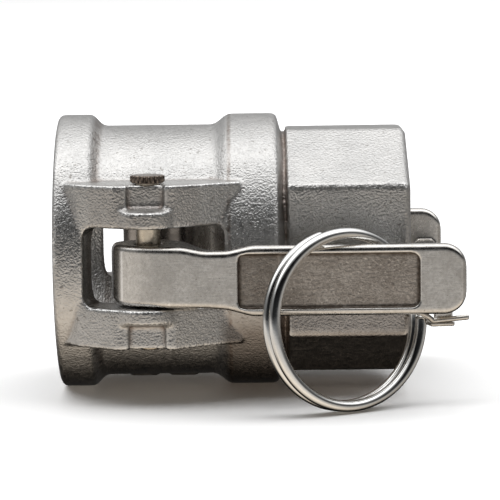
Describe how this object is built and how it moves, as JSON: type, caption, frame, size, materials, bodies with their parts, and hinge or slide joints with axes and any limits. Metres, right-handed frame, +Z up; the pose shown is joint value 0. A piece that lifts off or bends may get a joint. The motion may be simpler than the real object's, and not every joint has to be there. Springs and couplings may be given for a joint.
{
  "type": "camlock coupling",
  "caption": "Female cam-and-groove hose coupler, two hinged cam arms with pull rings, hex end with internal pipe thread.",
  "frame": {"origin": "centre of the overall box of the closed coupling, on the bore axis", "axes": "+X along the bore from the coupling mouth to the threaded hex end, +Z up along the arms' pivot pins, the two cam arms at -Y and +Y"},
  "size_m": [0.0696, 0.0768, 0.0476],
  "materials": {
    "cast_body": "bead-blasted cast stainless steel",
    "cam_arm": "tumbled cast stainless steel with polished edges",
    "pivot_pin": "drawn stainless pin with a knurled head",
    "polished_wire": "bright polished stainless wire",
    "gasket_rubber": "black moulded rubber"
  },
  "bodies": {
    "root": {"coupler_body": "cast_body", "gasket": "gasket_rubber", "pivot_pin_front": "pivot_pin", "pivot_pin_rear": "pivot_pin"},
    "arm_front": {"cam_arm_front": "cam_arm", "split_pin_front": "polished_wire"},
    "arm_rear": {"cam_arm_rear": "cam_arm", "split_pin_rear": "polished_wire"},
    "ring_front": {"pull_ring_front": "polished_wire"},
    "ring_rear": {"pull_ring_rear": "polished_wire"}
  },
  "joints": [
    {"name": "arm_front_hinge", "type": "hinge", "parent": "root", "child": "arm_front", "pos_m": [-0.01865, -0.0228, 0], "axis": [0, 0, -1], "range_deg": [0, 120]},
    {"name": "arm_rear_hinge", "type": "hinge", "parent": "root", "child": "arm_rear", "pos_m": [-0.01865, 0.0228, 0], "axis": [0, 0, 1], "range_deg": [0, 120]},
    {"name": "ring_front_turn", "type": "hinge", "parent": "arm_front", "child": "ring_front", "pos_m": [0.01398, -0.0294, -0.0086], "axis": [0.4974, -0.8616, 0.1011], "continuous": true},
    {"name": "ring_rear_turn", "type": "hinge", "parent": "arm_rear", "child": "ring_rear", "pos_m": [0.01398, 0.0294, -0.0086], "axis": [0.4974, 0.8616, 0.1011], "continuous": true}
  ]
}
